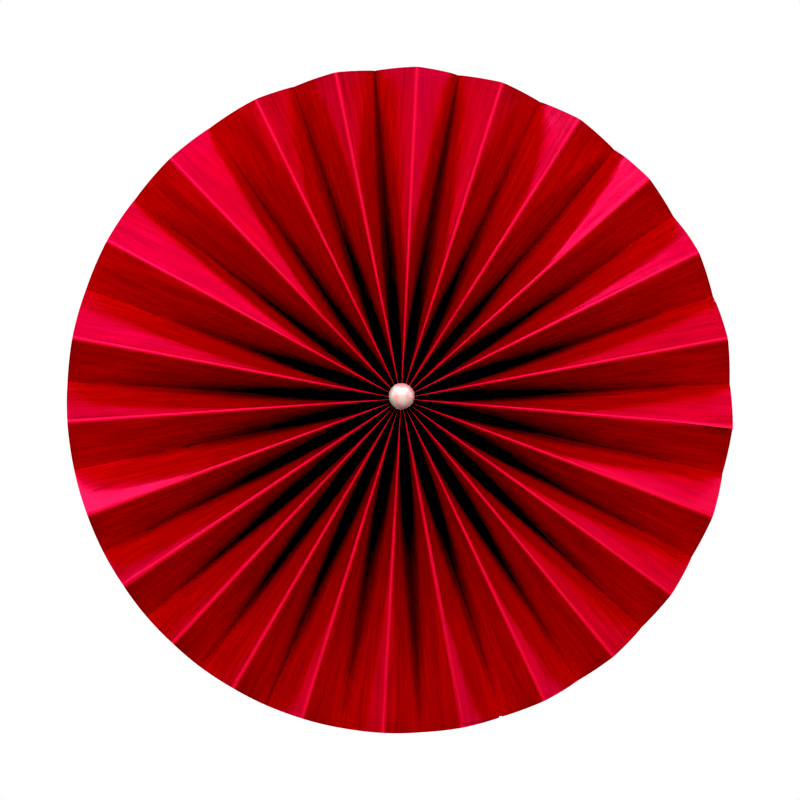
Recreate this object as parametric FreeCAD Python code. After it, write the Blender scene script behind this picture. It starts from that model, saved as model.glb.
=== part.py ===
import FreeCAD, Part

import math
import os

# A round wall rosette of red card, 12 inches across, with a pearl bead in the middle.
# Five strips of card are folded into an accordion, lapped end to end with double-sided tape,
# and gathered round a plug of glue, so that the folds fan out to the rim.
# The face looks along -Y and +Z is up. The origin is the middle of the back face.

# Overall size, in millimetres
DIAMETER = 304.8
PANEL_WIDTH = 27.0

# How far each pleat is spread in degrees, from one front fold to the next and counter-clockwise as
# the face is seen. The spreads are scaled to close the circle.
PLEAT_SPREADS = (
    15.3, 15.7, 15.4, 15.7, 14.8, 15.0, 14.1, 14.6, 17.9, 17.9, 17.8, 14.5,
    16.4, 13.6, 13.0, 12.9, 12.9, 14.1, 13.8, 14.8, 14.1, 14.7, 15.2, 15.8,
)
FIRST_FOLD_BEARING = -4.7

# How many pleats each strip of card makes
PLEAT_COUNTS = (4, 5, 5, 5, 5)

# A panel can't twist as its pleat opens, so it bends along a slanting line instead. Beyond that line
# lies a flatter facet, a flare, which starts as a point on the front fold and widens to the rim.
# Each flared panel: where the flare starts as a share of the radius, how much of the panel it takes
# up at the rim, and how many degrees flatter it is there than a straight panel. Panels count
# counter-clockwise, two to a front fold, first the one on its counter-clockwise side.
FLARES = {
    0: (0.50, 0.90, 2),
    2: (0.42, 0.75, 5),
    4: (0.45, 0.40, 7),
    6: (0.55, 0.62, 8),
    7: (0.55, 0.92, 1),
    8: (0.70, 0.92, 2),
    10: (0.38, 0.90, 2),
    11: (0.38, 0.75, 5),
    12: (0.32, 0.88, 2),
    13: (0.65, 0.92, 2),
    14: (0.55, 0.45, 3),
    15: (0.60, 0.92, 2),
    16: (0.55, 0.30, 4),
    17: (0.30, 0.92, 1),
    19: (0.25, 0.92, 2),
    21: (0.35, 0.60, 3),
    23: (0.45, 0.40, 3),
    33: (0.60, 0.40, 6),
    35: (0.45, 0.40, 5),
    36: (0.45, 0.35, 4),
    37: (0.50, 0.45, 3),
    38: (0.60, 0.40, 5),
    40: (0.60, 0.50, 5),
    42: (0.42, 0.80, 3),
    44: (0.40, 0.88, 3),
    46: (0.45, 0.90, 2),
}
NO_FLARE = (0.60, 0.40, 0)
FLARE_EDGE_CURVE = 1.5
NARROWEST_FLARE = 0.08

# The card and its folds
CARD_THICKNESS = 0.25
HUB_RADIUS = 5.0
CREASE_HALF_AT_HUB = 0.25
CREASE_OPENS_OVER = 6.0
FRONT_CREASE_HALF = 0.6
REAR_CREASE_HALF = 0.4

# Where the shape of the pleats is set, as shares of the way from the hub to the rim
STATIONS = (0.0, 0.05, 0.16, 0.34, 0.5, 0.64, 0.77, 0.89, 1.0)

# The lapped joints between two strips
TAPE_THICKNESS = 0.1
TAPE_CLEARANCE = 0.015
TAPE_SPAN = (0.15, 0.65)
LEAST_TAPE_STEP = 0.05
FLAP_SHORTER_BY = 1.0

# The middle
BEAD_DIAMETER = 12.0
BEAD_ABOVE_CENTRE = 1.0
GLUE_CLEARANCE = 0.05
BACK_DISC_DIAMETER = 42.0
BACK_DISC_THICKNESS = 0.5
BACK_DISC_CLEARANCE = 0.05

RIM_RADIUS = DIAMETER / 2
HALF_GATHER = PANEL_WIDTH / 2 + CARD_THICKNESS / 2
MIDDLE_PLANE = BACK_DISC_THICKNESS + BACK_DISC_CLEARANCE + HALF_GATHER
LAP_OFFSET = (CARD_THICKNESS + TAPE_THICKNESS) / 2
FULL_TURN = 2 * math.pi
SPREADS = [spread * FULL_TURN / sum(PLEAT_SPREADS) for spread in PLEAT_SPREADS]
SHEET_ENDS = [sum(PLEAT_COUNTS[:i]) for i in range(len(PLEAT_COUNTS) + 1)]
PANEL_COUNT = 2 * len(SPREADS)


def ring_point(radius, along, height):
    """The point this far along the circle of a radius and this far in front of the middle plane."""
    bearing = along / radius
    forward = MIDDLE_PLANE + height
    return FreeCAD.Vector(radius * math.cos(bearing), -forward, radius * math.sin(bearing))


def flat_point(along, height):
    """A point of a cross-section, with the circle it lies on rolled out flat."""
    return FreeCAD.Vector(along, height, 0)


def station_radii():
    return [HUB_RADIUS + share * (RIM_RADIUS - HUB_RADIUS) for share in STATIONS]


def front_fold_bearing(number):
    turns, position = divmod(number, len(SPREADS))
    return math.radians(FIRST_FOLD_BEARING) + turns * FULL_TURN + sum(SPREADS[:position])


def fold_bearing(fold):
    """Even folds are front folds, and each odd one is the rear fold midway to the next."""
    before = front_fold_bearing(fold // 2)
    after = front_fold_bearing((fold + 1) // 2)
    return (before + after) / 2


def pleat_depth(pleat, radius):
    """How deep a pleat is where its panels, of a fixed width, are spread this far apart."""
    spread = SPREADS[pleat % len(SPREADS)]
    half_pitch = 2 * radius * math.sin(spread / 4)
    return math.sqrt(PANEL_WIDTH**2 - half_pitch**2)


def fold_height(fold, radius):
    """The height of a fold's middle line over the middle plane.

    A front fold settles midway between the middles of its two pleats.
    """
    pleat = fold // 2
    if fold % 2 == 0:
        return (pleat_depth(pleat - 1, radius) + pleat_depth(pleat, radius)) / 4
    front = (fold_height(fold - 1, radius) + fold_height(fold + 1, radius)) / 2
    return front - pleat_depth(pleat, radius)


def crease_half(fold, radius):
    """Half the width of the flat worn on a fold, which is sharper where it is gathered at the hub."""
    free = REAR_CREASE_HALF if fold % 2 else FRONT_CREASE_HALF
    squeezed = math.exp(-(radius - HUB_RADIUS) / CREASE_OPENS_OVER)
    return free + squeezed * (CREASE_HALF_AT_HUB - free)


def panel_folds(panel):
    """The front and the rear fold of a panel, and which way round the circle the rear one lies."""
    front = panel + panel % 2
    rear = panel + 1 - panel % 2
    return front, rear, rear - front


def panel_chord(panel, radius):
    """The two ends of a panel's cross-section, where it leaves its front fold and meets its rear one."""
    front, rear, side = panel_folds(panel)
    along_front = radius * fold_bearing(front) + side * crease_half(front, radius)
    along_rear = radius * fold_bearing(rear) - side * crease_half(rear, radius)
    start = flat_point(along_front, fold_height(front, radius))
    return start, flat_point(along_rear, fold_height(rear, radius))


def panel_slope(panel, radius):
    """The angle between a straight panel and the plane of the rosette."""
    start, end = panel_chord(panel, radius)
    return math.atan2(start.y - end.y, abs(end.x - start.x))


def flare_at(panel, radius):
    """Where a panel bends, as a share of its width, and how far it stands out there."""
    start, share_at_rim, flatter = FLARES.get(panel % PANEL_COUNT, NO_FLARE)
    grown = max(0.0, (radius / RIM_RADIUS - start) / (1 - start)) ** FLARE_EDGE_CURVE
    turn = panel_slope(panel, radius) - panel_slope(panel, RIM_RADIUS) + math.radians(flatter)
    lift = share_at_rim * grown * PANEL_WIDTH * math.sin(turn)
    return max(share_at_rim * grown, NARROWEST_FLARE), lift


def is_lapped(panel):
    return panel % 2 == 0 and panel // 2 in SHEET_ENDS


def panel_steps(panel, radius):
    """The shares of a panel's width at which its cross-section has points. In a lap, some of them lie
    at the tape's edges, so that the card and the tape nest."""
    bend = flare_at(panel, radius)[0]
    if not is_lapped(panel):
        return [0, bend, 1]
    tape_start, tape_end = TAPE_SPAN
    bend_in_tape = min(max(bend, tape_start + LEAST_TAPE_STEP), tape_end - LEAST_TAPE_STEP)
    return [0, tape_start, bend_in_tape, max(tape_end, bend), 1]


def panel_points(panel, radius, steps):
    """Points across one panel, at shares of its width from its front fold, counter-clockwise."""
    start, end = panel_chord(panel, radius)
    side = panel_folds(panel)[2]
    down = end - start
    outward = FreeCAD.Vector(-down.y, down.x, 0) * side
    outward.normalize()
    bend, lift = flare_at(panel, radius)
    points = []
    for step in steps:
        rise = lift * min(step / bend, (1 - step) / (1 - bend))
        points.append(start + down * step + outward * rise)
    return points if side > 0 else points[::-1]


def sheet_line(first, last, radius):
    """The middle line of a strip at one radius.

    It starts with its free edge on one front fold, on the outside of the lap there, and ends past
    another front fold with a flap on the inside of the next lap.
    """
    opening = panel_points(2 * first, radius, panel_steps(2 * first, radius))
    line = offset_line(opening, LAP_OFFSET)
    for panel in range(2 * first + 1, 2 * last):
        line += panel_points(panel, radius, panel_steps(panel, radius))
    flap_steps = panel_steps(2 * last, radius)
    flap_steps[-1] -= FLAP_SHORTER_BY / PANEL_WIDTH
    flap = panel_points(2 * last, radius, flap_steps)
    return line + offset_line(flap, -LAP_OFFSET)


def tape_line(seam, radius):
    return panel_points(2 * seam, radius, panel_steps(2 * seam, radius)[1:-1])


def offset_line(line, distance):
    """The line moved sideways to its left by a distance, with its corners mitred."""
    moved = []
    last = len(line) - 1
    for i, point in enumerate(line):
        before = line[max(i, 1)] - line[max(i, 1) - 1]
        after = line[min(i, last - 1) + 1] - line[min(i, last - 1)]
        before.normalize()
        after.normalize()
        middle = before + after
        middle.normalize()
        reach = distance / middle.dot(after)
        moved.append(point + FreeCAD.Vector(-middle.y, middle.x, 0) * reach)
    return moved


def wrapped(line, radius):
    """The points of a flat cross-section line, rolled back onto its circle."""
    return [ring_point(radius, point.x, point.y) for point in line]


def triangle(a, b, c):
    return Part.Face(Part.makePolygon([a, b, c, a]))


def facets(line_a, line_b):
    """The skin between two lines of as many points. Twisted card has no flat panels, so each of its
    four-sided pieces is two flat ones, split the same way in every layer so that the layers nest."""
    faces = []
    for i in range(len(line_a) - 1):
        faces.append(triangle(line_a[i], line_a[i + 1], line_b[i + 1]))
        faces.append(triangle(line_a[i], line_b[i + 1], line_b[i]))
    return faces


def thin_band(line_at, radii, thickness):
    """The solid of a thin folded band, from the middle line that it has at each radius."""
    fronts = [wrapped(offset_line(line_at(radius), thickness / 2), radius) for radius in radii]
    rears = [wrapped(offset_line(line_at(radius), -thickness / 2), radius) for radius in radii]
    faces = facets(fronts[0], rears[0]) + facets(fronts[-1], rears[-1])
    for i in range(len(radii) - 1):
        faces += facets(fronts[i], fronts[i + 1]) + facets(rears[i], rears[i + 1])
    for end in (0, -1):
        front_corners = [line[end] for line in fronts]
        rear_corners = [line[end] for line in rears]
        faces += facets(front_corners, rear_corners)
    shell = Part.makeCompound(faces)
    shell.sewShape()
    solid = Part.makeSolid(shell.Shells[0])
    if solid.Volume < 0:
        solid.reverse()
    return solid


def paper_sheet(first, last):
    return thin_band(lambda radius: sheet_line(first, last, radius), station_radii(), CARD_THICKNESS)


def seam_tape(seam):
    """Tape in the lap over one front fold, short of the hub and of the rim."""
    thickness = TAPE_THICKNESS - 2 * TAPE_CLEARANCE
    return thin_band(lambda radius: tape_line(seam, radius), station_radii()[1:-1], thickness)


def bead_centre():
    """The bead rests on the nearest of the folds round the hub."""
    sideways = HUB_RADIUS - BEAD_ABOVE_CENTRE
    height = HALF_GATHER + math.sqrt((BEAD_DIAMETER / 2) ** 2 - sideways**2)
    return FreeCAD.Vector(0, -(MIDDLE_PLANE + height), BEAD_ABOVE_CENTRE)


def pearl_bead():
    return Part.makeSphere(BEAD_DIAMETER / 2, bead_centre())


def glue_plug():
    """Glue that fills the hub from the backing disc to the folds' front, with the bead's seat in it."""
    start = BACK_DISC_THICKNESS + BACK_DISC_CLEARANCE
    length = 2 * HALF_GATHER
    forward = FreeCAD.Vector(0, -1, 0)
    base = FreeCAD.Vector(0, -start, 0)
    plug = Part.makeCylinder(HUB_RADIUS - GLUE_CLEARANCE, length, base, forward)
    seat = Part.makeSphere(BEAD_DIAMETER / 2 + GLUE_CLEARANCE, bead_centre())
    return plug.cut(seat)


def back_disc():
    forward = FreeCAD.Vector(0, -1, 0)
    return Part.makeCylinder(BACK_DISC_DIAMETER / 2, BACK_DISC_THICKNESS, FreeCAD.Vector(0, 0, 0), forward)


def nodes():
    parts = {}
    for i in range(len(SHEET_ENDS) - 1):
        parts[f"paper_sheet_{i + 1}"] = paper_sheet(SHEET_ENDS[i], SHEET_ENDS[i + 1])
        parts[f"seam_tape_{i + 1}"] = seam_tape(SHEET_ENDS[i])
    parts["glue_plug"] = glue_plug()
    parts["back_disc"] = back_disc()
    parts["pearl_bead"] = pearl_bead()
    return parts


os.makedirs("parts", exist_ok=True)
for name, solid in nodes().items():
    solid.exportStep(f"parts/{name}.step")
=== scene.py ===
import math

import bpy
import numpy as np
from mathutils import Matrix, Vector

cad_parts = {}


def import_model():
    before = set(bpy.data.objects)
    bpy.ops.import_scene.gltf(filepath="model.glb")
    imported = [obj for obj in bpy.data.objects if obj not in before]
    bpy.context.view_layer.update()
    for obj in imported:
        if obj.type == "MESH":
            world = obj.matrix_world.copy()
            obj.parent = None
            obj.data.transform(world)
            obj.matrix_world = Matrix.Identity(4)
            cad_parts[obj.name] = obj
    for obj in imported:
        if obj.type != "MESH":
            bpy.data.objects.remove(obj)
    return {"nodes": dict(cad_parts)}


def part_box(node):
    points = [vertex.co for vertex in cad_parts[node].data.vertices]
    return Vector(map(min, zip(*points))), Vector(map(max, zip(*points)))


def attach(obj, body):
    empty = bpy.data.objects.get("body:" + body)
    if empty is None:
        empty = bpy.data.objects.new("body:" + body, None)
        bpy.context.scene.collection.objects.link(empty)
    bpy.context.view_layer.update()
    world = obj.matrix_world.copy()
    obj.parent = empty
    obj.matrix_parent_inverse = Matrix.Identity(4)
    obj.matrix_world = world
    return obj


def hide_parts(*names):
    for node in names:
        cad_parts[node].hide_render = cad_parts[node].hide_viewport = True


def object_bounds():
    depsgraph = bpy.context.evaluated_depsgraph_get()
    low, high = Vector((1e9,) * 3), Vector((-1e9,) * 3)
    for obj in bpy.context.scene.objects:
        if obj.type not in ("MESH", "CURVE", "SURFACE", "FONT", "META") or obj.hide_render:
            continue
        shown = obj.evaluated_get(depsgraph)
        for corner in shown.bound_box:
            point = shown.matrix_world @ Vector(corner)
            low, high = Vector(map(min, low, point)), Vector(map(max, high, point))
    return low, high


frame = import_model()
cad_low, cad_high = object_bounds()

# The paper fan rosette, dressed: five strips of folded card, the tape in their laps, the finishes of
# all the pieces, and the studio. Lengths are in millimetres up to the point where a mesh is made.
MM = 0.001

# The card and the tape, as in the frame's own solids
PANEL_WIDTH = 27.0
CARD_THICKNESS = 0.25
HUB_RADIUS = 5.0
TAPE_THICKNESS = 0.1
TAPE_CLEARANCE = 0.015
RIM_RADIUS = (cad_high.x - cad_low.x) / 2 / MM
MIDDLE_PLANE = -(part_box("paper_sheet_2")[0].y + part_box("paper_sheet_2")[1].y) / 2 / MM
LAP_OFFSET = (CARD_THICKNESS + TAPE_THICKNESS) / 2

# How far each pleat is spread in degrees, counter-clockwise from the first front fold
PLEAT_SPREADS = (
    15.3, 15.7, 15.4, 15.7, 14.8, 15.0, 14.1, 14.6, 17.9, 17.9, 17.8, 14.5,
    16.4, 13.6, 13.0, 12.9, 12.9, 14.1, 13.8, 14.8, 14.1, 14.7, 15.2, 15.8,
)
FIRST_FOLD_BEARING = -4.7
FULL_TURN = 2 * math.pi
SPREADS = [spread * FULL_TURN / sum(PLEAT_SPREADS) for spread in PLEAT_SPREADS]
PANEL_COUNT = 2 * len(SPREADS)

# The front folds where the strips start, and where the last one ends
SHEET_ENDS = (0, 4, 9, 14, 19, 24)

# Half the width of the rounding of a front fold and of a rear one where they are free, then of both
# at the hub, and the distance over which they open. The front folds are softer than in the solids,
# and the rear ones are sharper.
FRONT_CREASE_HALF = 1.7
REAR_CREASE_HALF = 0.14
CREASE_HALF_AT_HUB = 0.06
CREASE_OPENS_OVER = 110.0

# A panel can't twist as its pleat opens, so it bends along a slanting line instead. Beyond that line
# lies a flatter facet, a flare, which starts as a point on the front fold and widens to the rim.
# Each flared panel: where the flare starts as a share of the radius, how much of the panel it takes
# up at the rim, and how many degrees flatter it is there than a straight panel. Panels count
# counter-clockwise, two to a front fold, first the one on its counter-clockwise side.
FLARES = {
    0: (0.50, 0.90, 2),
    2: (0.42, 0.75, 5),
    4: (0.45, 0.40, 7),
    6: (0.55, 0.62, 8),
    7: (0.55, 0.92, 1),
    8: (0.70, 0.92, 2),
    10: (0.38, 0.90, 2),
    11: (0.38, 0.75, 5),
    12: (0.32, 0.88, 2),
    13: (0.65, 0.92, 2),
    14: (0.55, 0.45, 3),
    15: (0.60, 0.92, 2),
    16: (0.55, 0.30, 4),
    17: (0.30, 0.92, 1),
    19: (0.25, 0.92, 2),
    21: (0.35, 0.60, 3),
    23: (0.45, 0.40, 3),
    33: (0.60, 0.40, 6),
    35: (0.45, 0.40, 5),
    36: (0.45, 0.35, 4),
    37: (0.50, 0.45, 3),
    38: (0.60, 0.40, 5),
    40: (0.60, 0.50, 5),
    42: (0.42, 0.80, 3),
    44: (0.40, 0.88, 3),
    46: (0.45, 0.90, 2),
}
NO_FLARE = (0.60, 0.40, 0)

# The power by which a flare widens, the share of the panel's width that its bend keeps at least from
# the front fold, and how soft the bend is
FLARE_EDGE_CURVE = 1.5
NARROWEST_FLARE = 0.05
FLARE_SOFTNESS = 0.08

# At each lap, at the rim: how far the free edge stands off the card under it, how far it reaches past
# the fold under it, and how far it falls short of the rim
LAP_GAPS = (1.3, 0.4, 0.6, 0.3, 0.5)
LAP_OVERHANGS = (2.2, 0.3, 0.5, 0.2, 0.4)
LAP_SHORT = (0.0, 0.6, 0.3, 0.2, 2.2)

# The share of the radius from which the laps open, and the powers by which they open and fall short
LAPS_OPEN_FROM = 0.75
LAP_OPENING_CURVE = 2
LAP_SHORT_CURVE = 3

# The distance out from the hub at which the lighter colour of the front folds' crests, partly rubbing and
# partly a painted highlight, is at full strength; nearer the hub it fades, which paints the crests darker
# there
LIGHTER_CREST_FULL_FROM = 60.0

# The card's streaks run along its folds, and are this many times as long as they are wide
STREAK_STRETCH = 12.0

# The grid of points. Its rows are circles, a little closer together towards the rim, and the columns
# across a panel are closer together towards its front fold. Each half of a fold has its own columns.
ROW_COUNT = 57
ROW_CURVE = 0.9
COLUMN_COUNT = 17
COLUMN_CURVE = 1.35
CREASE_STEPS = 5
RADII = HUB_RADIUS + (RIM_RADIUS - HUB_RADIUS) * np.linspace(0, 1, ROW_COUNT) ** ROW_CURVE
PANEL_STEPS = np.linspace(0, 1, COLUMN_COUNT) ** COLUMN_CURVE

# The rows and columns of a lapped panel that its tape covers, short of the hub, the rim and the folds
TAPE_ROWS = slice(4, -6)
TAPE_COLUMNS = slice(CREASE_STEPS + 3, -CREASE_STEPS - 5)

# Edges that turn by more degrees than this are shaded as sharp ones
SHARP_FROM = 50

# Colours, as linear red, green, blue and alpha
CARD_DARK = (0.37, 0.0, 0.006, 1)
CARD_LIGHT = (0.50, 0.0, 0.013, 1)
# The lighter colour of the front folds' crests: partly rubbed card, partly a painted highlight
CARD_WORN_AND_HIGHLIGHT = (0.58, 0.02, 0.05, 1)
CARD_SHEEN = (1.0, 0.04, 0.42, 1)
BACKING_DARK = (0.34, 0.0, 0.008, 1)
BACKING_LIGHT = (0.46, 0.006, 0.018, 1)
PEARL_ROSE = (0.84, 0.42, 0.43, 1)
PEARL_PALE = (0.86, 0.58, 0.55, 1)
PEARL_CREAM = (0.74, 0.67, 0.55, 1)
GLUE_DARK = (0.78, 0.72, 0.58, 1)
GLUE_LIGHT = (0.86, 0.82, 0.72, 1)
TAPE_WHITE = (0.8, 0.79, 0.76, 1)
FLOOR_GREY = (0.8, 0.8, 0.8, 1)
WHITE = (1, 1, 1, 1)

# The studio, in metres
SOFTBOX_DISTANCE = 2.6
FLOOR_RADIUS = 6
FLOOR_LEVEL = -0.34
CAMERA_DISTANCE = 3.0
CAMERA_LEFT = 0.122
CAMERA_BELOW = 0.122

# How many corners the floor's edge has, and how many times as wide as the rosette the picture is
FLOOR_CORNERS = 96
FRAME_MARGIN = 1.2

# How bright the surround is for the camera, and for what the surfaces receive
BACKDROP_STRENGTH = 1.0
AMBIENT_STRENGTH = 0.04

# The lamps: degrees to the right of the front and above it, size in metres, power in watts, and
# whether a lamp fills the matt light, gives the sheen or does both
FILL, SHEEN, BOTH = "fill", "sheen", "both"
LAMPS = {
    "key": (0, 37, 1.0, 46, BOTH),
    "sheen_key": (0, 37, 1.0, 14, SHEEN),
    "left": (-38, 12, 1.0, 38, FILL),
    "right": (38, 12, 1.0, 36, FILL),
    "bounce": (0, -58, 1.6, 14, FILL),
    "low_left": (-36, -28, 1.2, 9, FILL),
    "low_right": (36, -28, 1.2, 8, FILL),
    "sheen_high_left": (-65, 58, 1.4, 51, SHEEN),
    "sheen_high_right": (65, 58, 1.4, 30, SHEEN),
    "sheen_low_left": (-77, 12, 1.4, 18, SHEEN),
    "sheen_low_right": (77, 12, 1.4, 18, SHEEN),
    "rear": (180, 35, 1.0, 110, BOTH),
}

# The photograph is strongly processed, with clipped blacks, most of all in red
GAMMA = 0.77
BLACK_LEVEL = (0.122, 0.02, 0.02)


def front_fold_bearing(number):
    turns, position = divmod(number, len(SPREADS))
    return math.radians(FIRST_FOLD_BEARING) + turns * FULL_TURN + sum(SPREADS[:position])


def fold_bearing(fold):
    """Even folds are front folds, and each odd one is the rear fold midway to the next."""
    return (front_fold_bearing(fold // 2) + front_fold_bearing((fold + 1) // 2)) / 2


def pleat_depth(pleat):
    """How deep a pleat is at each radius, as its two panels of a fixed width are spread apart."""
    half_pitch = 2 * RADII * math.sin(SPREADS[pleat % len(SPREADS)] / 4)
    return np.sqrt(PANEL_WIDTH**2 - half_pitch**2)


def fold_height(fold):
    """The height of a fold over the middle plane at each radius.

    A front fold settles midway between the middles of its two pleats.
    """
    pleat = fold // 2
    if fold % 2 == 0:
        return (pleat_depth(pleat - 1) + pleat_depth(pleat)) / 4
    return (fold_height(fold - 1) + fold_height(fold + 1)) / 2 - pleat_depth(pleat)


def crease_half(fold):
    """Half the width of the rounding of a fold, which the gather squeezes at the hub."""
    free = REAR_CREASE_HALF if fold % 2 else FRONT_CREASE_HALF
    squeezed = np.exp(-(RADII - HUB_RADIUS) / CREASE_OPENS_OVER)
    return free + squeezed * (CREASE_HALF_AT_HUB - free)


def crease_columns(fold, side, slope):
    """Columns of points round one half of a fold, from its crest to where the flat of the panel starts."""
    facing = -1 if fold % 2 else 1
    round_radius = crease_half(fold) / np.sin(slope)
    columns = []
    for k in range(CREASE_STEPS + 1):
        turn = slope * k / CREASE_STEPS
        along = RADII * fold_bearing(fold) + side * round_radius * np.sin(turn)
        height = fold_height(fold) - facing * round_radius * (1 - np.cos(turn))
        columns.append(np.array([along, height]))
    return columns


def panel_slope(front, rear):
    """The angle between a panel and the wall behind the rosette, where its flat part is straight."""
    run = abs(RADII * (fold_bearing(rear) - fold_bearing(front)))
    run = run - crease_half(front) - crease_half(rear)
    return np.arctan2(fold_height(front) - fold_height(rear), run)


def flare_lift(panel, step, slope):
    """How far the card stands out at one share of a panel's width, where it is bent by its flare."""
    start, share_at_rim, flatter = FLARES.get(panel % PANEL_COUNT, NO_FLARE)
    grown = np.clip((RADII / RIM_RADIUS - start) / (1 - start), 0, 1) ** FLARE_EDGE_CURVE
    edge = np.maximum(share_at_rim * grown, NARROWEST_FLARE)
    lift = share_at_rim * grown * PANEL_WIDTH * np.sin(slope - slope[-1] + math.radians(flatter))
    rising = step / edge
    falling = (1 - step) / (1 - edge)
    return -FLARE_SOFTNESS * lift * np.logaddexp(-rising / FLARE_SOFTNESS, -falling / FLARE_SOFTNESS)


def panel_columns(panel):
    """Columns across one panel, from the crest of its first fold to that of its second."""
    front = panel + panel % 2
    rear = panel + 1 - panel % 2
    side = 1 if rear > front else -1
    slope = panel_slope(front, rear)
    front_half = crease_columns(front, side, slope)
    rear_half = crease_columns(rear, -side, slope)
    start, end = front_half[-1], rear_half[-1]
    down = end - start
    outward = side * np.array([-down[1], down[0]]) / np.hypot(*down)
    flat = [start + down * step + outward * flare_lift(panel, step, slope) for step in PANEL_STEPS[1:-1]]
    columns = front_half + flat + rear_half[::-1]
    return columns if side > 0 else columns[::-1]


def crest_wear_and_highlight(panel, count):
    """How much each column of a panel takes the lighter crest colour, partly rubbing and partly a painted
    highlight, which is most at the crest of its front fold.
    """
    worn_and_lit = np.zeros(count)
    worn_and_lit[: CREASE_STEPS + 1] = np.linspace(1, 0, CREASE_STEPS + 1)
    return worn_and_lit if panel % 2 == 0 else worn_and_lit[::-1]


def lap_opening():
    """How far open the laps are at each radius, from 0 further in up to 1 at the rim."""
    share = (RADII / RIM_RADIUS - LAPS_OPEN_FROM) / (1 - LAPS_OPEN_FROM)
    return np.clip(share, 0, 1) ** LAP_OPENING_CURVE


def lap_gap(sheet, step):
    """How far the first panel of a strip stands off the lap, which is most at its free edge."""
    return LAP_GAPS[sheet] * lap_opening() * (1 - step) ** LAP_OPENING_CURVE


def push_free_edge(sheet, columns):
    """Moves the free edge of a strip past the fold under it, near the rim, in line with its panel."""
    run = columns[CREASE_STEPS] - columns[CREASE_STEPS + 1]
    past = run / np.hypot(*run) * LAP_OVERHANGS[sheet] * lap_opening()
    for k in range(CREASE_STEPS):
        columns[k] = columns[k] + past * (1 - k / CREASE_STEPS)


def outer_layer(sheet, across):
    """How far outside the lap's middle a strip's first panel lies, down to nothing at its rear fold."""
    layer = np.full((len(across), len(RADII)), LAP_OFFSET)
    layer[-CREASE_STEPS - 1 :] *= np.linspace(1, 0, CREASE_STEPS + 1)[:, None]
    return layer + np.array([lap_gap(sheet, step) for step in across])


def inner_layer(count):
    """How far inside the lap's middle a strip's flap lies, from nothing at its front fold."""
    layer = np.full((count, len(RADII)), -LAP_OFFSET)
    layer[: CREASE_STEPS + 1] *= np.linspace(0, 1, CREASE_STEPS + 1)[:, None]
    return layer


def sheet_panel(sheet, panel):
    """The columns of one panel of a strip, with their layer in a lap, their shortfall and their share of
    the lighter crest colour, partly rubbing and partly a painted highlight.
    """
    columns = panel_columns(panel)
    count = len(columns)
    kept = count
    layer = np.zeros((count, len(RADII)))
    short = np.zeros(count)
    if panel == 2 * SHEET_ENDS[sheet]:
        across = np.linspace(0, 1, count)
        push_free_edge(sheet, columns)
        layer = outer_layer(sheet, across)
        short = LAP_SHORT[sheet] * (1 - across)
    elif panel == 2 * SHEET_ENDS[sheet + 1]:
        layer = inner_layer(count)
        kept = count - CREASE_STEPS - 1
    worn_and_lit = crest_wear_and_highlight(panel, count)
    return columns[:kept], layer[:kept], short[:kept], worn_and_lit[:kept]


def sheet_columns(sheet):
    """All columns of one strip, from its free edge to the end of its flap.

    Two panels share the column at the crest of the fold between them.
    """
    gathered = [], [], [], []
    for panel in range(2 * SHEET_ENDS[sheet], 2 * SHEET_ENDS[sheet + 1] + 1):
        shared = 1 if gathered[0] else 0
        for values, new in zip(gathered, sheet_panel(sheet, panel)):
            values.extend(new[shared:])
    return [np.array(values) for values in gathered]


def ring_points(along, height, short):
    """Rolls flat cross-sections back onto their circles: arrays of columns by radii.

    A column that falls short of the rim keeps to the same surface, and only ends sooner.
    """
    share = (RADII - HUB_RADIUS) / (RIM_RADIUS - HUB_RADIUS)
    radii = RADII - short[:, None] * share**LAP_SHORT_CURVE
    rows = zip(radii, along / RADII, height)
    moved = [(np.interp(at, RADII, turn), np.interp(at, RADII, level)) for at, turn, level in rows]
    bearing, height = np.array(moved).transpose(1, 0, 2)
    points = [radii * np.cos(bearing), -(MIDDLE_PLANE + height), radii * np.sin(bearing)]
    return np.stack(points, axis=-1)


def band_skins(columns, layers, short, thickness):
    """The front and the rear grid of points of a thin band, from its middle line at each radius."""
    tangent = np.gradient(columns, axis=0)
    tangent /= np.hypot(tangent[:, 0], tangent[:, 1])[:, None, :]
    normal = np.stack([-tangent[:, 1], tangent[:, 0]], axis=1)
    middle = columns + normal * layers[:, None, :]
    skins = []
    for offset in (thickness / 2, -thickness / 2):
        moved = middle + normal * offset
        skins.append(ring_points(moved[:, 0], moved[:, 1], short))
    return np.array(skins)


def quads(a, b, c, d):
    """Four-sided faces, from the point numbers of their four corners."""
    return np.stack([a, b, c, d], axis=-1).reshape(-1, 4)


def band_faces(count, rows):
    """The faces that close a band: its front and its rear, then its rim, its hub end and its two sides."""
    front = np.arange(count * rows).reshape(count, rows)
    rear = front + count * rows
    faces = [
        quads(front[:-1, :-1], front[:-1, 1:], front[1:, 1:], front[1:, :-1]),
        quads(rear[:-1, :-1], rear[1:, :-1], rear[1:, 1:], rear[:-1, 1:]),
        quads(front[:-1, -1], rear[:-1, -1], rear[1:, -1], front[1:, -1]),
        quads(front[1:, 0], rear[1:, 0], rear[:-1, 0], front[:-1, 0]),
        quads(front[0, 1:], front[0, :-1], rear[0, :-1], rear[0, 1:]),
        quads(front[-1, :-1], front[-1, 1:], rear[-1, 1:], rear[-1, :-1]),
    ]
    return np.concatenate(faces)


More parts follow.
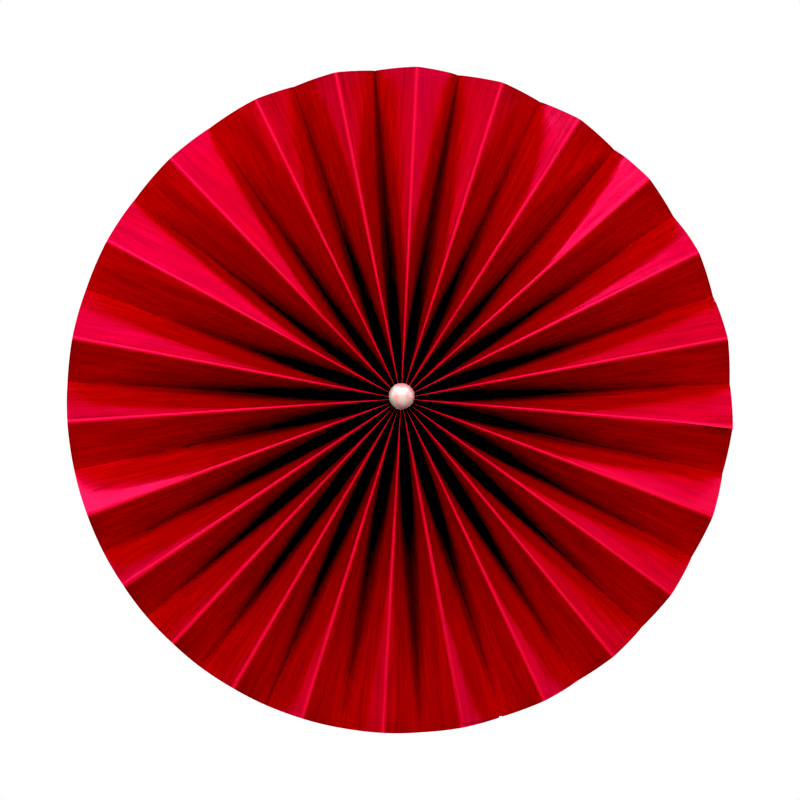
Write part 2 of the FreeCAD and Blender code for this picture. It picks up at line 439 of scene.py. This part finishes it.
def band_mesh(name, columns, layers, short, thickness, rows_used=slice(None)):
    """A closed mesh of a thin folded band."""
    skins = band_skins(columns, layers, short, thickness)[:, :, rows_used]
    points = skins.reshape(-1, 3) * MM
    faces = band_faces(skins.shape[1], skins.shape[2])
    mesh = bpy.data.meshes.new(name)
    mesh.from_pydata(points.tolist(), [], faces.tolist())
    mesh.validate()
    mesh.update()
    for polygon in mesh.polygons:
        polygon.use_smooth = True
    mesh.set_sharp_from_angle(angle=math.radians(SHARP_FROM))
    return mesh


def mark_points(mesh, name, kind, field, values):
    """Stores a value for each point of a band's front grid, and the same one behind it."""
    attribute = mesh.attributes.new(name, kind, "POINT")
    attribute.data.foreach_set(field, np.concatenate([values.ravel(), values.ravel()]))


def mark_wear_and_highlight(mesh, worn_and_lit):
    """Stores how much each point takes the lighter crest colour, partly rubbing and partly a painted
    highlight, for the material to read. It fades towards the hub, which paints the crests darker there.
    """
    # Fading the painted highlight towards the hub paints the crests darker there
    fade_towards_hub = np.clip((RADII - HUB_RADIUS) / LIGHTER_CREST_FULL_FROM, 0, 1)
    mark_points(mesh, "wear_and_highlight", "FLOAT", "value", np.outer(worn_and_lit, fade_towards_hub))


def mark_strip(mesh, columns, sheet):
    """Stores each point's place on the flat strip, shrunk along the folds, for streaks that follow them."""
    widths = np.hypot(*np.diff(columns[:, :, -1], axis=0).T)
    across = np.concatenate([[0], np.cumsum(widths)]) * MM
    along = RADII * MM / STREAK_STRETCH
    place = np.stack(np.broadcast_arrays(across[:, None], along[None, :], float(sheet)), axis=-1)
    mark_points(mesh, "strip", "FLOAT_VECTOR", "vector", place)


def new_object(name, mesh, material):
    obj = bpy.data.objects.new(name, mesh)
    bpy.context.scene.collection.objects.link(obj)
    mesh.materials.append(material)
    return obj


def set_inputs(node, values):
    for name, value in values.items():
        node.inputs[name].default_value = value


def new_material(name, values):
    """A material, with the values that its shader keeps everywhere."""
    material = bpy.data.materials.new(name)
    material.use_nodes = True
    tree = material.node_tree
    shader = tree.nodes["Principled BSDF"]
    set_inputs(shader, values)
    return material, tree, shader


def stored(tree, name):
    """What the points of a mesh store under a name."""
    node = tree.nodes.new("ShaderNodeAttribute")
    node.attribute_name = name
    return node


def noise_over(tree, place, scale, detail, roughness=0.5):
    """Noise over the places that a socket gives."""
    node = tree.nodes.new("ShaderNodeTexNoise")
    set_inputs(node, {"Scale": scale, "Detail": detail, "Roughness": roughness})
    tree.links.new(place, node.inputs["Vector"])
    return node.outputs["Fac"]


def noise(tree, scale, detail, roughness=0.5):
    """Object-space noise, with its scale in features to the metre."""
    place = tree.nodes.new("ShaderNodeTexCoord")
    return noise_over(tree, place.outputs["Object"], scale, detail, roughness)


def streaks(tree, scale, detail):
    """Noise that runs along the folds of the card."""
    return noise_over(tree, stored(tree, "strip").outputs["Vector"], scale, detail)


def colour_ramp(tree, value, stops):
    ramp = tree.nodes.new("ShaderNodeValToRGB")
    elements = ramp.color_ramp.elements
    elements[0].position, elements[0].color = stops[0]
    elements[1].position, elements[1].color = stops[-1]
    for position, colour in stops[1:-1]:
        elements.new(position).color = colour
    tree.links.new(value, ramp.inputs["Fac"])
    return ramp.outputs["Color"]


def bump(tree, value, distance, strength, below=None):
    """A surface that rises with a value, by a distance in metres, on top of the bumps below it."""
    node = tree.nodes.new("ShaderNodeBump")
    set_inputs(node, {"Distance": distance, "Strength": strength})
    tree.links.new(value, node.inputs["Height"])
    if below is not None:
        tree.links.new(below, node.inputs["Normal"])
    return node.outputs["Normal"]


def worn_and_highlight_colour(tree, colour, worn_and_lit):
    """The colour, mixed with a lighter one at the front folds' crests, which is partly rubbing and partly a
    painted highlight.
    """
    mix = tree.nodes.new("ShaderNodeMix")
    mix.data_type = "RGBA"
    mix.inputs["B"].default_value = worn_and_lit
    tree.links.new(stored(tree, "wear_and_highlight").outputs["Fac"], mix.inputs["Factor"])
    tree.links.new(colour, mix.inputs["A"])
    return mix.outputs["Result"]


def card_material():
    """Satin card, streaked along its folds, lighter at its front folds' crests with rubbing and a painted
    highlight, with grain, broad waves and fine wrinkles.
    """
    finish = {"Roughness": 0.4, "Specular IOR Level": 1.0, "Specular Tint": CARD_SHEEN}
    material, tree, shader = new_material("red_card", finish)
    tone = streaks(tree, scale=400, detail=4)
    colour = colour_ramp(tree, tone, [(0.3, CARD_DARK), (0.7, CARD_LIGHT)])
    # The crests of the front folds get a lighter colour, partly rubbing and partly a painted highlight
    colour = worn_and_highlight_colour(tree, colour, CARD_WORN_AND_HIGHLIGHT)
    tree.links.new(colour, shader.inputs["Base Color"])
    grain = bump(tree, noise(tree, scale=1400, detail=3), distance=0.0001, strength=0.25)
    waves = bump(tree, noise(tree, scale=45, detail=2), distance=0.0015, strength=0.5, below=grain)
    folds = streaks(tree, scale=260, detail=3)
    wrinkles = bump(tree, folds, distance=0.0006, strength=0.5, below=waves)
    tree.links.new(wrinkles, shader.inputs["Normal"])
    return material


def pearl_material():
    """Soft lustre, clouded from rose to cream."""
    finish = {"Roughness": 0.45, "Metallic": 0.3, "Coat Weight": 0.3, "Coat Roughness": 0.35}
    material, tree, shader = new_material("pearl", finish)
    swirl = noise(tree, scale=240, detail=3)
    lustre = colour_ramp(tree, swirl, [(0.38, PEARL_ROSE), (0.5, PEARL_PALE), (0.62, PEARL_CREAM)])
    tree.links.new(lustre, shader.inputs["Base Color"])
    return material


def glue_material():
    material, tree, shader = new_material("glue", {"Roughness": 0.35})
    cloud = noise(tree, scale=300, detail=3)
    colour = colour_ramp(tree, cloud, [(0.3, GLUE_DARK), (0.7, GLUE_LIGHT)])
    tree.links.new(colour, shader.inputs["Base Color"])
    return material


def backing_material():
    """Plain matt card, with the mottle and fibre of its uncoated side."""
    material, tree, shader = new_material("backing_card", {"Roughness": 0.75})
    mottle = noise(tree, scale=260, detail=6, roughness=0.7)
    colour = colour_ramp(tree, mottle, [(0.3, BACKING_DARK), (0.7, BACKING_LIGHT)])
    tree.links.new(colour, shader.inputs["Base Color"])
    fibre = bump(tree, noise(tree, scale=1800, detail=4), distance=0.00012, strength=0.4)
    tree.links.new(fibre, shader.inputs["Normal"])
    return material


def tape_material():
    """White double-sided tape, with small bubbles under it."""
    material, tree, shader = new_material("tape", {"Base Color": TAPE_WHITE, "Roughness": 0.6})
    bubbles = bump(tree, noise(tree, scale=700, detail=2), distance=0.0002, strength=0.3)
    tree.links.new(bubbles, shader.inputs["Normal"])
    return material


def paper_sheets():
    material = card_material()
    for i in range(len(SHEET_ENDS) - 1):
        columns, layers, short, worn_and_lit = sheet_columns(i)
        mesh = band_mesh(f"card_{i + 1}", columns, layers, short, CARD_THICKNESS)
        # Stores where the crests take the lighter colour, partly rubbing and partly a painted highlight
        mark_wear_and_highlight(mesh, worn_and_lit)
        mark_strip(mesh, columns, i)
        sheet = new_object(f"folded_card_{i + 1}", mesh, material)
        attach(sheet, "root")
        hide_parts(f"paper_sheet_{i + 1}")


def seam_tapes():
    """The tape in each lap, hidden between the two layers of card."""
    material = tape_material()
    thickness = TAPE_THICKNESS - 2 * TAPE_CLEARANCE
    for i in range(len(SHEET_ENDS) - 1):
        columns = np.array(panel_columns(2 * SHEET_ENDS[i]))[TAPE_COLUMNS]
        layers = np.zeros((len(columns), len(RADII)))
        short = np.zeros(len(columns))
        mesh = band_mesh(f"tape_{i + 1}", columns, layers, short, thickness, TAPE_ROWS)
        tape = new_object(f"lap_tape_{i + 1}", mesh, material)
        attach(tape, "root")
        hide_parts(f"seam_tape_{i + 1}")


def plain_pieces():
    """The bead, the glue and the disc keep the frame's own meshes, each with a finish of its own."""
    finishes = {
        "pearl_bead": pearl_material(),
        "glue_plug": glue_material(),
        "back_disc": backing_material(),
    }
    for node, finish in finishes.items():
        frame["nodes"][node].material_slots[0].material = finish


def floor():
    """A bright floor that only the camera sees, and that throws no shadow."""
    bpy.ops.mesh.primitive_circle_add(
        vertices=FLOOR_CORNERS, radius=FLOOR_RADIUS, fill_type="NGON", location=(0, 0, FLOOR_LEVEL)
    )
    plane = bpy.context.object
    plane.name = "floor"
    finish = {
        "Base Color": FLOOR_GREY,
        "Roughness": 0.9,
        "Emission Color": WHITE,
        "Emission Strength": 0.9,
    }
    material, tree, shader = new_material("floor", finish)
    plane.data.materials.append(material)
    plane.visible_glossy = False
    plane.visible_diffuse = False
    plane.visible_shadow = False


def softbox(name, bearing, height, size, power, gives):
    """A round soft lamp aimed at the rosette, at a bearing to the right of its front and a height."""
    round_by, up_by = math.radians(bearing), math.radians(height)
    level = SOFTBOX_DISTANCE * math.cos(up_by)
    place = Vector((level * math.sin(round_by), -level * math.cos(round_by), 0))
    place.z = SOFTBOX_DISTANCE * math.sin(up_by)
    data = bpy.data.lights.new(name, "AREA")
    data.shape = "DISK"
    data.size = size
    data.energy = power
    lamp = bpy.data.objects.new(name, data)
    lamp.visible_diffuse = gives in (FILL, BOTH)
    lamp.visible_glossy = gives in (SHEEN, BOTH)
    lamp.location = place
    lamp.rotation_euler = (-place).to_track_quat("-Z", "Y").to_euler()
    bpy.context.scene.collection.objects.link(lamp)


def world():
    """A white surround for the camera, and a dimmer one for what the surfaces receive."""
    scene_world = bpy.data.worlds.new("studio")
    bpy.context.scene.world = scene_world
    scene_world.use_nodes = True
    tree = scene_world.node_tree
    shown = tree.nodes["Background"]
    set_inputs(shown, {"Color": WHITE, "Strength": BACKDROP_STRENGTH})
    received = tree.nodes.new("ShaderNodeBackground")
    set_inputs(received, {"Color": WHITE, "Strength": AMBIENT_STRENGTH})
    mix = tree.nodes.new("ShaderNodeMixShader")
    ray = tree.nodes.new("ShaderNodeLightPath")
    tree.links.new(ray.outputs["Is Camera Ray"], mix.inputs["Fac"])
    tree.links.new(received.outputs["Background"], mix.inputs[1])
    tree.links.new(shown.outputs["Background"], mix.inputs[2])
    tree.links.new(mix.outputs["Shader"], tree.nodes["World Output"].inputs["Surface"])
    scene_world.cycles_visibility.glossy = False


def camera():
    """Straight on, from a little to the left of and below the middle, as in the photograph."""
    aim = Vector((0, -MIDDLE_PLANE * MM, 0))
    data = bpy.data.cameras.new("camera")
    frame_half = RIM_RADIUS * MM * FRAME_MARGIN
    data.lens = data.sensor_width / 2 / (frame_half / CAMERA_DISTANCE)
    cam = bpy.data.objects.new("camera", data)
    cam.location = aim + Vector((-CAMERA_LEFT, -CAMERA_DISTANCE, -CAMERA_BELOW))
    cam.rotation_euler = (aim - cam.location).to_track_quat("-Z", "Y").to_euler()
    bpy.context.scene.collection.objects.link(cam)
    bpy.context.scene.camera = cam


paper_sheets()
seam_tapes()
plain_pieces()
floor()
world()
for lamp_name, lamp_values in LAMPS.items():
    softbox(lamp_name, *lamp_values)
camera()

scene = bpy.context.scene
scene.view_settings.view_transform = "Standard"
scene.view_settings.look = "None"
scene.view_settings.exposure = 0
scene.view_settings.gamma = GAMMA
scene.view_settings.use_curve_mapping = True
curves = scene.view_settings.curve_mapping
curves.black_level = BLACK_LEVEL
curves.update()
